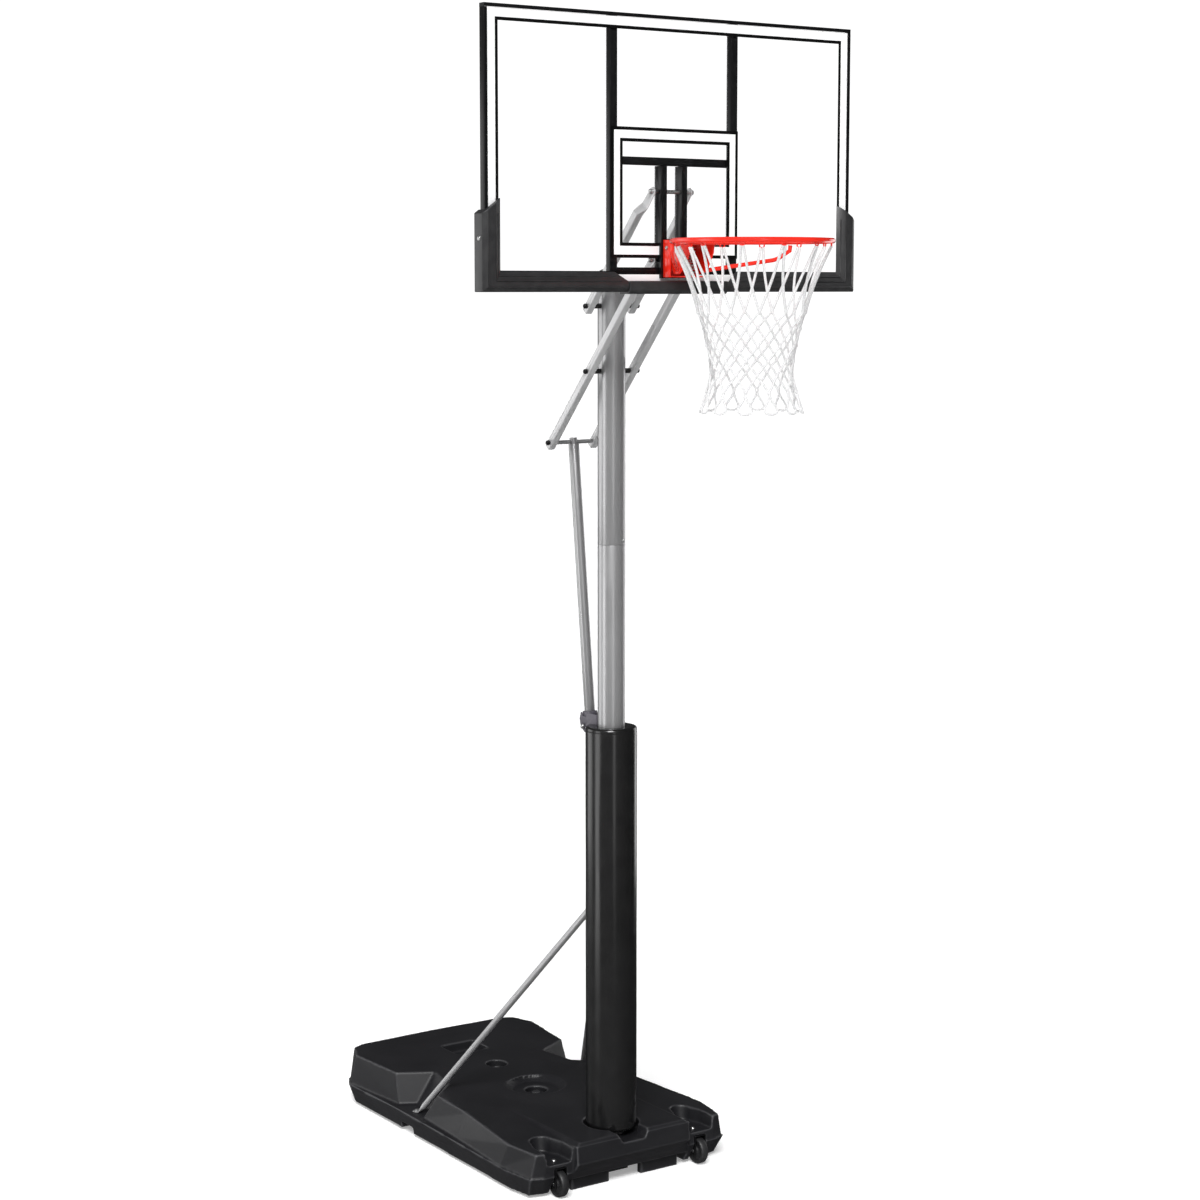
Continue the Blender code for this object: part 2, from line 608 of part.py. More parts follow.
def make_jack():
    """A yoke on the pole carries the drive housing, the screw and the telescoping tubes."""
    cheek, half = 0.005, 0.027
    outline = [(0.0455, 1.468), (0.124, 1.468), (0.138, 1.478), (0.145, 1.504), (0.138, 1.526),
               (0.128, 1.514), (0.108, 1.514), (0.098, 1.528), (0.0455, 1.528)]
    bracket = loft("jack_bracket", [[(x, y, z) for y, z in outline] for x in (-half, half)],
                   JACK_CASTING)
    cut(bracket, block("slot", (-half + cheek, 0.056, 1.3), (half - cheek, 0.3, 1.7), None))
    ends = [Vector((-0.1, 0, 0)), Vector((0.1, 0, 0))]
    drill(bracket, JACK_PIVOT + ends[0], JACK_PIVOT + ends[1], BOLT_RADIUS + GAP)
    capped_bolt("jack_pivot_pin", JACK_PIVOT, half + GAP, paint=ZINC_STEEL)

    side = Vector((1, 0, 0))
    front = JACK_DIRECTION.cross(side)
    housing = loft("jack_housing", [section(JACK_PIVOT + JACK_DIRECTION * s, side, front, w, d, 0.4)
                                    for s, w, d in ((-0.024, 0.016, 0.014), (-0.016, 0.0212, 0.0205),
                                                    (0.040, 0.0212, 0.0205), (0.048, 0.0195, 0.019))],
                   JACK_CASTING)
    drill(housing, JACK_PIVOT + ends[0], JACK_PIVOT + ends[1], BOLT_RADIUS + GAP)

    outer = tube("jack_outer_tube", JACK_PIVOT, JACK_DIRECTION, 0.048 + GAP, JACK_LENGTH - 0.0072,
                 OUTER_RADIUS, OUTER_RADIUS - TUBE_WALL, SILVER_STEEL)
    screw = rod("jack_screw", JACK_PIVOT + JACK_DIRECTION * (0.048 + GAP),
                JACK_PIVOT + JACK_DIRECTION * 0.640, SCREW_RADIUS, ZINC_STEEL)
    pivot("jack_axis", JACK_PIVOT, housing, outer, screw)

    # The inner tube has its nut in the foot and a solid head for the cross rod.
    foot, head, top = 0.075, JACK_LENGTH - 0.009, JACK_LENGTH + 0.014
    bore, nut = INNER_RADIUS - TUBE_WALL, SCREW_RADIUS + GAP
    profile = [(0, top), (HEAD_RADIUS, top), (HEAD_RADIUS, head), (INNER_RADIUS, head - 0.002),
               (INNER_RADIUS, foot), (nut, foot), (nut, foot + 0.030), (bore, foot + 0.034),
               (bore, head - 0.010), (0, head - 0.010)]
    inner = turned("jack_inner_tube", profile, JACK_PIVOT, JACK_DIRECTION, SILVER_STEEL,
                   closed=False)
    drill(inner, REAR_PIN + ends[0], REAR_PIN + ends[1], 0.0065 + GAP)
    reach = Vector((ARM_X - ARM_SIZE / 2 - 2 * GAP, 0, 0))
    cross = rod("jack_cross_rod", REAR_PIN - reach, REAR_PIN + reach, 0.0065, SILVER_STEEL)
    pivot("jack_slide_axis", REAR_PIN, inner, cross)


# ---------------------------------------------------------------- backboard

def rail(name, start, end, inward):
    """An angle rail along one edge: an outer wall and a front lip over the panel's edge."""
    start, end, inward = Vector(start), Vector(end), Vector(inward)
    back = Vector((0, 1, 0))
    outline = [(0, 0), (0, RAIL_DEPTH), (RAIL_SHEET, RAIL_DEPTH), (RAIL_SHEET, RAIL_SHEET),
               (RAIL_LIP, RAIL_SHEET), (RAIL_LIP, 0)]
    rings = [[point + inward * i + back * b for i, b in outline] for point in (start, end)]
    return loft(name, rings, BLACK_STEEL)


def make_frame():
    half = BOARD_WIDTH / 2
    inner_low, inner_high = BOARD_BOTTOM + RAIL_LIP + GAP, BOARD_TOP - RAIL_LIP - GAP
    frame = [rail("frame_top", (-half, BOARD_FACE, BOARD_TOP), (half, BOARD_FACE, BOARD_TOP),
                  (0, 0, -1)),
             rail("frame_bottom", (-half, BOARD_FACE, BOARD_BOTTOM),
                  (half, BOARD_FACE, BOARD_BOTTOM), (0, 0, 1))]
    for side, word in ((-1, "left"), (1, "right")):
        frame.append(rail(f"frame_{word}", (side * half, BOARD_FACE, inner_low),
                          (side * half, BOARD_FACE, inner_high), (-side, 0, 0)))
    inset = RAIL_SHEET + GAP
    frame.append(block("acrylic_panel", (-half + inset, PANEL_FRONT, BOARD_BOTTOM + inset),
                       (half - inset, PANEL_BACK, BOARD_TOP - inset), CLEAR_ACRYLIC))
    return frame


def hollow_bar(name, low, high, along, wall=0.002):
    """A rectangular steel tube, open at both ends along one axis."""
    bar = block(name, low, high, BLACK_STEEL)
    low_in = [value + (-0.01 if axis == along else wall) for axis, value in enumerate(low)]
    high_in = [value + (0.01 if axis == along else -wall) for axis, value in enumerate(high)]
    cut(bar, block("bore", low_in, high_in, None))
    return bar


def make_board_bars():
    inset = RAIL_SHEET + GAP
    front, back = BAR_FRONT, BAR_FRONT + BAR_DEPTH
    bars = []
    for side, word in ((-1, "left"), (1, "right")):
        x_low, x_high = sorted((side * (BAR_X - BAR_WIDTH / 2), side * (BAR_X + BAR_WIDTH / 2)))
        bars.append(hollow_bar(f"board_bar_{word}", (x_low, front, BOARD_BOTTOM + inset),
                               (x_high, back, BOARD_TOP - inset), 2))
        x_low, x_high = sorted((side * CHANNEL_X[0], side * CHANNEL_X[1]))
        channel = hollow_bar(f"arm_channel_{word}", (x_low, front, CHANNEL_BOTTOM),
                             (x_high, CHANNEL_BACK, CROSSBAR_UPPER[0] - GAP), 2)
        cut(channel, block("notch", (-0.1, -0.4, CROSSBAR_LOWER[0] - GAP),
                           (0.1, front + CROSSBAR_LOWER_DEPTH + GAP, CROSSBAR_LOWER[1] + GAP),
                           None))
        for height in (LOWER_PIVOT_Z, UPPER_PIVOT_Z):
            pin = Vector((0, BOARD_PIN_Y, height + ARM_RISE))
            drill(channel, pin - Vector((0.1, 0, 0)), pin + Vector((0.1, 0, 0)),
                  BOLT_RADIUS + GAP)
        bars.append(channel)
    reach = BAR_X - BAR_WIDTH / 2 - GAP
    for word, (low, high), depth, height in (
            ("upper", CROSSBAR_UPPER, BAR_DEPTH, UPPER_PIVOT_Z),
            ("lower", CROSSBAR_LOWER, CROSSBAR_LOWER_DEPTH, LOWER_PIVOT_Z)):
        bars.append(hollow_bar(f"crossbar_{word}", (-reach, front, low),
                               (reach, front + depth, high), 0))
        bars.append(capped_bolt(f"board_pin_{word}", (0, BOARD_PIN_Y, height + ARM_RISE),
                                FLAT_X + FLAT_THICKNESS / 2 + GAP, paint=ZINC_STEEL))
    return bars


# The edge pad's section: (inset of the bottom arm, inset of the side arm, y)
PAD_SECTION = [
    (0, 0, EDGE_PAD_BACK), (0, 0, EDGE_PAD_FRONT + 0.009), (0.014, 0.014, EDGE_PAD_FRONT),
    (0.0315, 0.0425, EDGE_PAD_FRONT), (0.0625, 0.0695, BOARD_FACE - GAP),
    (BOARD_BOTTOM - GAP - EDGE_PAD_Z, EDGE_PAD_X - BOARD_WIDTH / 2 - GAP, BOARD_FACE - GAP),
    (BOARD_BOTTOM - GAP - EDGE_PAD_Z, EDGE_PAD_X - BOARD_WIDTH / 2 - GAP, EDGE_PAD_BACK)]


def make_corner_pad(side, word):
    """An L-shaped pad round a lower corner, mitred there, with slanted ends."""
    seam, notch = PAD_SEAM_X, 0.043
    bottom, corner, top = [], [], []
    for low_inset, side_inset, y in PAD_SECTION:
        slant = max(0.0, low_inset - 0.0315) / 0.031
        end_x = seam + (0.018 if slant > 0 else 0) + slant * (notch - 0.018)
        bottom.append((side * end_x, y, EDGE_PAD_Z + low_inset))
        corner.append((side * (EDGE_PAD_X - side_inset), y, EDGE_PAD_Z + low_inset))
        rise = 0.048 * min(1.0, side_inset / 0.0695)
        top.append((side * (EDGE_PAD_X - side_inset), y, EDGE_PAD_TOP + rise))
    return loft(f"board_pad_{word}", [bottom, corner, top], EDGE_PAD_FOAM)


def make_pads():
    pads = [make_corner_pad(side, word) for side, word in ((-1, "left"), (1, "right"))]
    low, front = EDGE_PAD_Z - 0.006, EDGE_PAD_FRONT - 0.004
    top = EDGE_PAD_Z + 0.0335
    outline = [(low, EDGE_PAD_BACK), (low, front + 0.009), (low + 0.010, front), (top, front),
               (top, BOARD_FACE - GAP), (BOARD_BOTTOM - GAP, BOARD_FACE - GAP),
               (BOARD_BOTTOM - GAP, EDGE_PAD_BACK)]
    reach = PAD_SEAM_X - GAP
    pads.append(loft("board_pad_centre", [[(x, y, z) for z, y in outline] for x in (-reach, reach)],
                     EDGE_PAD_FOAM))
    return pads


# ---------------------------------------------------------------- rim and net

def make_rim_mount():
    """The fixed half: a plate with two side flanges, a spring shelf and the hinge pin."""
    half, sheet = PLATE_HALF_WIDTH, PLATE_SHEET
    back = PANEL_FRONT - GAP
    plate = block("rim_plate", (-half, back - 0.046, PLATE_LOW), (half, back, PLATE_HIGH),
                  RIM_STEEL)
    cut(plate, block("inside", (-half + sheet, -1, PLATE_LOW + 0.004),
                     (half - sheet, back - PLATE_BACK, PLATE_HIGH + 1), None))
    fuse(plate, block("shelf", (-0.036, back - 0.100, PLATE_LOW), (0.036, back - 0.001,
                                                                  PLATE_LOW + 0.0038), None))
    cut(plate, block("relief", (-half + sheet, -1, PLATE_LOW - 1),
                     (-0.0363, back - PLATE_BACK, PLATE_LOW + 0.02), None),
        block("relief", (0.0363, -1, PLATE_LOW - 1),
              (half - sheet, back - PLATE_BACK, PLATE_LOW + 0.02), None))
    reach = Vector((half + 0.004, 0, 0))
    hinge = Vector((0, HINGE_Y, HINGE_Z))
    drill(plate, hinge - reach, hinge + reach, 0.005 + GAP)
    pin = rod("rim_hinge_pin", hinge - reach, hinge + reach, 0.005, ZINC_STEEL)
    spring = tube("rim_spring", (0, -0.425, 0), (0, 0, 1), PLATE_LOW + 0.0038 + GAP,
                  RIM_Z - 0.0083, 0.014, 0.0105, ZINC_STEEL, 20)
    return [plate, pin, spring]


def make_rim():
    """The part that breaks away: ring, bracket, two braces and the net."""
    ring = turned("rim_ring", [(RING_RADIUS + RING_ROD * math.sin(a), RING_ROD * math.cos(a))
                               for a in (2 * math.pi * (i + 0.5) / 8 for i in range(8))],
                  RING_CENTRE, (0, 0, 1), RIM_STEEL, 40)

    top, sheet = RIM_Z - 0.002, 0.006
    plan = [(-0.044, -0.357), (0.044, -0.357), (0.050, -0.400), (0.100, -0.520), (-0.100, -0.520),
            (-0.050, -0.400)]
    bracket = loft("rim_bracket", [[(x, y, z) for x, y in plan] for z in (top - sheet, top)],
                   RIM_STEEL)
    side_outline = [(-0.358, top - 0.003), (-0.358, 3.020), (-0.398, 2.950), (-0.425, 2.950),
                    (-0.452, 2.970), (-0.478, 3.015), (-0.481, top - 0.003)]
    for side in (-1, 1):
        rings = [[(side * x, y, z) for y, z in side_outline] for x in (0.0425, 0.0465)]
        fuse(bracket, loft("gusset", rings, None))
    cut(bracket, rod("fit", RING_CENTRE - Vector((0, 0, 0.2)), RING_CENTRE + Vector((0, 0, 0.2)),
                     RING_RADIUS + RING_ROD + GAP, None, 96))
    hinge = Vector((0, HINGE_Y, HINGE_Z))
    drill(bracket, hinge - Vector((0.1, 0, 0)), hinge + Vector((0.1, 0, 0)), 0.005 + GAP)

    pieces = [ring, bracket]
    for side, word in ((-1, "left"), (1, "right")):
        route = [(side * 0.0535, -0.426, 2.962), (side * 0.070, -0.448, 2.966),
                 (side * 0.186, -0.589, 2.992), (side * 0.196, -0.601, 2.997),
                 (side * 0.2190, -0.6282, 3.020),
                 (side * 0.2200, -0.6294, RIM_Z - RING_ROD - 0.0015)]
        pieces.append(pipe(f"rim_brace_{word}", route, 0.0065, RIM_STEEL))

    high, thick = RIM_Z - RING_ROD - 0.006, 0.0015
    shape_of_net = [(0.2260, 0), (0.2120, 0.055), (0.1830, 0.125), (0.1580, 0.200),
                    (0.1400, 0.270), (0.1280, 0.330), (0.1250, 0.385), (0.1340, 0.430),
                    (0.1520, NET_LENGTH)]
    outside = [(r + thick, high - drop) for r, drop in shape_of_net]
    inside = [(r - thick, high - drop) for r, drop in reversed(shape_of_net)]
    pieces.append(turned("net", outside + inside, (RING_CENTRE.x, RING_CENTRE.y, 0), (0, 0, 1),
                         NET_CORD, 24))
    return pieces


def make_backboard():
    pieces = make_frame() + make_board_bars() + make_pads() + make_rim_mount()
    pivot("backboard_axis", (0, BOARD_PIN_Y, LOWER_PIVOT_Z + ARM_RISE), *pieces)
    pivot("rim_axis", (0, HINGE_Y, HINGE_Z), *make_rim())


def main():
    clear_scene()
    make_tank()
    make_tank_caps()
    for side, word in ((-1, "left"), (1, "right")):
        make_wheel(side, word)
    make_pole()
    make_braces()
    make_arms()
    make_jack()
    make_backboard()


main()
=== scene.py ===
"""Looks of the portable basketball hoop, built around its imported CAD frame.

Hard parts and the board pads are copies of their CAD nodes with rounded edges. The tank is remeshed
from its node; the pole pad, net and spring are modelled afresh. Metres, +Z up; the board faces -Y.
"""

import json
import math

import bmesh
import bpy
from mathutils import Matrix, Vector, noise


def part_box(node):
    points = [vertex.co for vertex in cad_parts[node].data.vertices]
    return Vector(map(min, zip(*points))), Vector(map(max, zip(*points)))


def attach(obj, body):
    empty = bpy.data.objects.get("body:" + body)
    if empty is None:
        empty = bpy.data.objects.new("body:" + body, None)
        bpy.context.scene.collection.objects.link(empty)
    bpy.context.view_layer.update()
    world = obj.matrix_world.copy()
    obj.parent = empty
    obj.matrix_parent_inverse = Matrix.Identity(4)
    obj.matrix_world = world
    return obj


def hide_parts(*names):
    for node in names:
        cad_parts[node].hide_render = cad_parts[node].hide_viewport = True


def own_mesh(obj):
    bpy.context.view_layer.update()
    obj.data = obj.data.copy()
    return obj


CAMERA_PLACE = (-4.572, -6.603, 2.908)
CAMERA_TURN, CAMERA_TILT = math.radians(-34.437), math.radians(82.91)
LENS, SENSOR = 75.2, 36.0

NET_HOOKS = 12
# The net's knot rows: depth below the ring's centre and radius.
NET_ROWS = [(0.207, 0.160), (0.256, 0.143), (0.306, 0.133), (0.350, 0.124), (0.391, 0.121),
            (0.441, 0.134)]
NET_BOTTOM = (0.503, 0.153)
CORD_RADIUS, STRAND_RADIUS = 0.0034, 0.0042
STRAND_BOW = 0.006                # how far a long strand bows inwards and sideways
CORD_WANDER = 0.0022              # how far a diamond's side strays from straight
LOOP_SWEEP, LOOP_WIDTH = 0.30, 1.15
KNOT_SIZE = (0.0052, 0.0060, 0.0078)
HOOK_DROP = 0.011
HOOK_SINK = 0.002                 # depth of a hook's ends in the ring
HOOK_INSET = 0.004                # from the ring's middle line towards its axis
HOOK_HALF_WIDTH, HOOK_RADIUS = 0.0075, 0.0023
STRAND_SPREAD = 0.0040            # from a hook's middle to each of its two strands

INK_THICKNESS = 0.00012
BORDER_LINE = (0.638, 0.674)      # inner and outer x of the printed border
TARGET_OUTER, TARGET_INNER = (0.2385, 2.999, 3.390), (0.197, 3.045, 3.346)
INK_LINE = 0.0100                 # width of the thin black lines

# Ridges moulded on the corner pads: inset of the bottom arm, inset of the side arm, y
PAD_RIDGES = [(0.0150, 0.0160, -0.3640), (0.0330, 0.0430, -0.3635), (0.0470, 0.0560, -0.3545)]
RIDGE_END = 0.030

PAD_LINING = 0.0468               # radius of the pole pad's bore
PAD_OPENING = 0.042               # half width of its open back
PAD_ROLL = 0.010                  # radius of its rolled ends
PAD_HEM, HEM_DEPTH, HEM_WIDTH = 0.016, 0.0009, 0.0022
PAD_INSET, PAD_PUFF = 0.0010, 0.0006
PAD_END_ROWS = [0.0, 0.0012, 0.003, 0.006, 0.010, 0.0125, 0.0145, 0.016, 0.0175, 0.020]

SEAM_SCREW_Z = 2.104
SEAM_SCREW_AZIMUTHS = (math.radians(-62), math.radians(118))
WHEEL_SCREW = (0.279, -0.078)     # x and y
WHEEL_SHELF = 0.0122              # above the top of the wheel's bracket
BRACE_NUT = (0.343, 0.684)        # x and y
PAD_SCREW = (-0.336, 3.052)       # y and z
BAR_SCREW_X, BAR_SCREW_HEIGHTS = 0.2265, (2.985, 3.190, 3.450, 3.690)
RIM_BOLT_X = 0.032

# Lamps: name, place, what it faces, width and height, brightness
SOFT_BOXES = [("left_box", (-6.0, 1.0, 1.7), (0, 0, 1.7), (2.2, 5.0), 2.4),
              ("left_wall", (-4.2, 6.0, 1.9), (0, 0, 1.9), (4.5, 5.0), 1.6),
              ("front_box", (-2.2, -6.3, 1.6), (0, 0, 1.6), (1.0, 4.0), 1.6),
              ("rim_box", (6.0, 1.6, 1.8), (0, 0, 1.8), (2.8, 4.5), 1.8)]

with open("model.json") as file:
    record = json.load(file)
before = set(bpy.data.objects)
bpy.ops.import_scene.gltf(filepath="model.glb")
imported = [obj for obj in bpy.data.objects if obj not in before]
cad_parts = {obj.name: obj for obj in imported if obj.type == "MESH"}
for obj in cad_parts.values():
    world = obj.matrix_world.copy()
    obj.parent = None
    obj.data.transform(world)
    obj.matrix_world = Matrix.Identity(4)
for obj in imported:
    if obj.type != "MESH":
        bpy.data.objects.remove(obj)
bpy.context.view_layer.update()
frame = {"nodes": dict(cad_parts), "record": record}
RECORD = frame["record"]
BODY = {node: body for body, nodes in RECORD["behaviour"]["bodies"].items() for node in nodes}
SLOT = {part["node"]: part["material_slot"] for part in RECORD["subparts"]}


# ---------------------------------------------------------------- materials

def new_material(name):
    made = bpy.data.materials.new(name)
    made.use_nodes = True
    tree = made.node_tree
    return made, tree, tree.nodes["Principled BSDF"]


def object_noise(tree, scale, detail=4.0, stretch=(1, 1, 1)):
    """Noise in metres of the row frame."""
    place = tree.nodes.new("ShaderNodeTexCoord")
    mapping = tree.nodes.new("ShaderNodeMapping")
    mapping.inputs["Scale"].default_value = stretch
    texture = tree.nodes.new("ShaderNodeTexNoise")
    texture.inputs["Scale"].default_value = scale
    texture.inputs["Detail"].default_value = detail
    tree.links.new(place.outputs["Object"], mapping.inputs["Vector"])
    tree.links.new(mapping.outputs["Vector"], texture.inputs["Vector"])
    return texture


def remap(tree, value, low, high, start=0.3, end=0.7):
    """A value's middle band spread between two numbers."""
    spread = tree.nodes.new("ShaderNodeMapRange")
    spread.inputs["From Min"].default_value = start
    spread.inputs["From Max"].default_value = end
    spread.inputs["To Min"].default_value = low
    spread.inputs["To Max"].default_value = high
    tree.links.new(value, spread.inputs["Value"])
    return spread.outputs["Result"]


def vary_colour(tree, shader, value, dark, light):
    """Base colour that runs between two shades with a value."""
    ramp = tree.nodes.new("ShaderNodeValToRGB")
    ramp.color_ramp.elements[0].position = 0.35
    ramp.color_ramp.elements[1].position = 0.65
    ramp.color_ramp.elements[0].color = (*dark, 1)
    ramp.color_ramp.elements[1].color = (*light, 1)
    tree.links.new(value, ramp.inputs["Fac"])
    tree.links.new(ramp.outputs["Color"], shader.inputs["Base Color"])


def paint_edge_highlight(tree, shader, colour, start, end):
    """Lighten the base colour where the surface turns sharply outwards: a painted highlight along
    the edges.
    """
    shape = tree.nodes.new("ShaderNodeNewGeometry")
    edge_highlight = tree.nodes.new("ShaderNodeMix")
    edge_highlight.data_type = "RGBA"
    edge_highlight.inputs["B"].default_value = (*colour, 1)
    under = shader.inputs["Base Color"].links[0].from_socket
    tree.links.new(remap(tree, shape.outputs["Pointiness"], 0.0, 1.0, start, end),
                   edge_highlight.inputs["Factor"])
    tree.links.new(under, edge_highlight.inputs["A"])
    tree.links.new(edge_highlight.outputs["Result"], shader.inputs["Base Color"])


def add_bump(tree, shader, height, strength, distance, under=None):
    bump = tree.nodes.new("ShaderNodeBump")
    bump.inputs["Strength"].default_value = strength
    bump.inputs["Distance"].default_value = distance
    tree.links.new(height, bump.inputs["Height"])
    if under is not None:
        tree.links.new(under.outputs["Normal"], bump.inputs["Normal"])
    tree.links.new(bump.outputs["Normal"], shader.inputs["Normal"])
    return bump


def coated(name, colour, roughness, metallic=0.0, spread=0.15, grain=900.0, depth=0.00006,
           coat=0.0, shine=0.5):
    """Moulded plastic or a baked coating: a fine grain over a faint mottle."""
    made, tree, shader = new_material(name)
    shader.inputs["Metallic"].default_value = metallic
    shader.inputs["Coat Weight"].default_value = coat
    shader.inputs["Coat Roughness"].default_value = 0.12
    shader.inputs["Specular IOR Level"].default_value = shine
    mottle = object_noise(tree, 9.0, 6.0)
    dark = [channel * (1 - spread) for channel in colour]
    light = [min(1, channel * (1 + spread)) for channel in colour]
    vary_colour(tree, shader, mottle.outputs["Fac"], dark, light)
    tree.links.new(remap(tree, mottle.outputs["Fac"], roughness * 0.88, roughness * 1.12),
                   shader.inputs["Roughness"])
    fine = object_noise(tree, grain, 2.0)
    wavy = object_noise(tree, 38.0, 2.0)
    under = add_bump(tree, shader, wavy.outputs["Fac"], 0.25, depth * 4)
    add_bump(tree, shader, fine.outputs["Fac"], 0.5, depth, under)
    return made


def tank_material():
    """Blow-moulded plastic: leather-like grain, and a painted highlight along its sharp edges."""
    made, tree, shader = new_material("tank_moulding")
    shader.inputs["Specular IOR Level"].default_value = 0.36
    mottle = object_noise(tree, 5.0, 8.0)
    ramp = tree.nodes.new("ShaderNodeValToRGB")
    ramp.color_ramp.elements[0].color = (0.0078, 0.0078, 0.0094, 1)
    ramp.color_ramp.elements[1].color = (0.0110, 0.0110, 0.0128, 1)
    ramp.color_ramp.elements[0].position = 0.3
    ramp.color_ramp.elements[1].position = 0.7
    tree.links.new(mottle.outputs["Fac"], ramp.inputs["Fac"])
    tree.links.new(ramp.outputs["Color"], shader.inputs["Base Color"])
    # Painted highlight: a lighter colour along the tank's sharp outer edges.
    paint_edge_highlight(tree, shader, (0.060, 0.060, 0.064), 0.510, 0.568)
    tree.links.new(remap(tree, mottle.outputs["Fac"], 0.40, 0.52), shader.inputs["Roughness"])
    grain = tree.nodes.new("ShaderNodeTexVoronoi")
    grain.inputs["Scale"].default_value = 420.0
    place = tree.nodes.new("ShaderNodeTexCoord")
    tree.links.new(place.outputs["Object"], grain.inputs["Vector"])
    wavy = object_noise(tree, 22.0, 3.0)
    under = add_bump(tree, shader, wavy.outputs["Fac"], 0.3, 0.0006)
    add_bump(tree, shader, grain.outputs["Distance"], 0.35, 0.00022, under)
    return made


def vinyl_material():
    """Glossy coated cloth over foam: a tight weave under a smooth skin."""
    made, tree, shader = new_material("gloss_vinyl")
    shader.inputs["Specular IOR Level"].default_value = 0.55
    shader.inputs["Coat Weight"].default_value = 0.25
    shader.inputs["Coat Roughness"].default_value = 0.14
    mottle = object_noise(tree, 14.0, 5.0)
    vary_colour(tree, shader, mottle.outputs["Fac"], (0.0030, 0.0030, 0.0032),
                (0.0050, 0.0050, 0.0052))
    tree.links.new(remap(tree, mottle.outputs["Fac"], 0.20, 0.27), shader.inputs["Roughness"])
    weave = object_noise(tree, 1400.0, 1.0)
    folds = object_noise(tree, 12.0, 2.0, (1, 1, 0.35))
    under = add_bump(tree, shader, folds.outputs["Fac"], 0.12, 0.002)
    add_bump(tree, shader, weave.outputs["Fac"], 0.03, 0.00002, under)
    return made


def foam_material():
    made, tree, shader = new_material("pad_foam")
    mottle = object_noise(tree, 30.0, 6.0)
    vary_colour(tree, shader, mottle.outputs["Fac"], (0.019, 0.019, 0.020), (0.026, 0.026, 0.027))
    tree.links.new(remap(tree, mottle.outputs["Fac"], 0.36, 0.46), shader.inputs["Roughness"])
    skin = tree.nodes.new("ShaderNodeTexVoronoi")
    skin.inputs["Scale"].default_value = 700.0
    place = tree.nodes.new("ShaderNodeTexCoord")
    tree.links.new(place.outputs["Object"], skin.inputs["Vector"])
    add_bump(tree, shader, skin.outputs["Distance"], 0.35, 0.00015)
    return made


def acrylic_material():
    made, tree, shader = new_material("clear_sheet")
    shader.inputs["Transmission Weight"].default_value = 1.0
    shader.inputs["IOR"].default_value = 1.1
    shader.inputs["Alpha"].default_value = 0.07
    haze = object_noise(tree, 40.0, 4.0)
    vary_colour(tree, shader, haze.outputs["Fac"], (0.96, 0.98, 0.98), (1, 1, 1))
    tree.links.new(remap(tree, haze.outputs["Fac"], 0.015, 0.05), shader.inputs["Roughness"])
    return made


def cord_material():
    """Braided white nylon: a slanted lay along each cord, and painted shade in its creases, where
    the colour darkens as the braid's bump dips.
    """
    made, tree, shader = new_material("braided_cord")
    shader.inputs["Sheen Weight"].default_value = 0.3
    braid_and_crease_shade = object_noise(tree, 420.0, 3.0)
    # Painted shade: the same noise that sets the bump makes the colour darker where the braid is
    # low.
    vary_colour(tree, shader, braid_and_crease_shade.outputs["Fac"], (0.50, 0.50, 0.51), (0.78, 0.78, 0.78))
    tree.links.new(remap(tree, braid_and_crease_shade.outputs["Fac"], 0.65, 0.85), shader.inputs["Roughness"])
    add_bump(tree, shader, braid_and_crease_shade.outputs["Fac"], 0.6, 0.0008)
    return made


def steel_material(name, colour, roughness):
    """Zinc-plated fasteners: brushed and faintly blotched."""
    made, tree, shader = new_material(name)
    shader.inputs["Metallic"].default_value = 1.0
    blotch = object_noise(tree, 60.0, 5.0)
    dark = [channel * 0.8 for channel in colour]
    vary_colour(tree, shader, blotch.outputs["Fac"], dark, colour)
    tree.links.new(remap(tree, blotch.outputs["Fac"], roughness * 0.8, roughness * 1.3),
                   shader.inputs["Roughness"])
    scratches = object_noise(tree, 500.0, 2.0, (1, 1, 6))
    add_bump(tree, shader, scratches.outputs["Fac"], 0.3, 0.00005)
    return made


LOOKS = {
    "tank_plastic": tank_material(),
    "black_plastic": coated("moulded_black", (0.010, 0.010, 0.010), 0.38),
    "wheel_plastic": coated("wheel_black", (0.014, 0.014, 0.015), 0.50, grain=600.0),
    "pad_vinyl": vinyl_material(),
    "edge_pad": foam_material(),
    "silver_steel": coated("silver_coat", (0.39, 0.39, 0.395), 0.31, metallic=0.68,
                           spread=0.02, grain=400.0, depth=0.000003),
    "zinc_steel": steel_material("zinc_plate", (0.62, 0.62, 0.62), 0.28),
    "black_steel": coated("black_coat", (0.0035, 0.0035, 0.004), 0.33, grain=1300.0, shine=0.28),
    "rim_steel": coated("rim_coat", (0.80, 0.020, 0.008), 0.24, spread=0.05, depth=0.00003,
                        coat=0.4),
    "jack_casting": coated("filled_plastic", (0.082, 0.076, 0.092), 0.48),
    "clear_acrylic": acrylic_material(),
    "net_cord": cord_material(),
}
WHITE_INK = coated("white_ink", (0.93, 0.93, 0.93), 0.30, spread=0.01)
# Painted light: a lighter, less metallic copy of the silver coat, so the arms read brighter than
# the pole of the same paint.
ARM_SILVER_PAINTED_LIGHT = coated("arm_silver_painted_light", (0.56, 0.56, 0.565), 0.36, metallic=0.45, spread=0.03,
                      grain=400.0, depth=0.000006)
BLACK_INK = coated("black_ink", (0.003, 0.003, 0.003), 0.40, shine=0.15)


# ---------------------------------------------------------------- mesh helpers

def add_piece(name, mesh, body, slot, look=None):
    obj = bpy.data.objects.new(name, mesh)
    bpy.context.scene.collection.objects.link(obj)
    mesh.materials.clear()
    mesh.materials.append(look or LOOKS[slot])
    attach(obj, body)
    return obj


def finished_mesh(obj):
    """The object's mesh with its modifiers, as a new mesh."""
    graph = bpy.context.evaluated_depsgraph_get()
    return bpy.data.meshes.new_from_object(obj.evaluated_get(graph))


def smooth_by_angle(mesh, degrees=35):
    mesh.shade_smooth()
    mesh.set_sharp_from_angle(angle=math.radians(degrees))


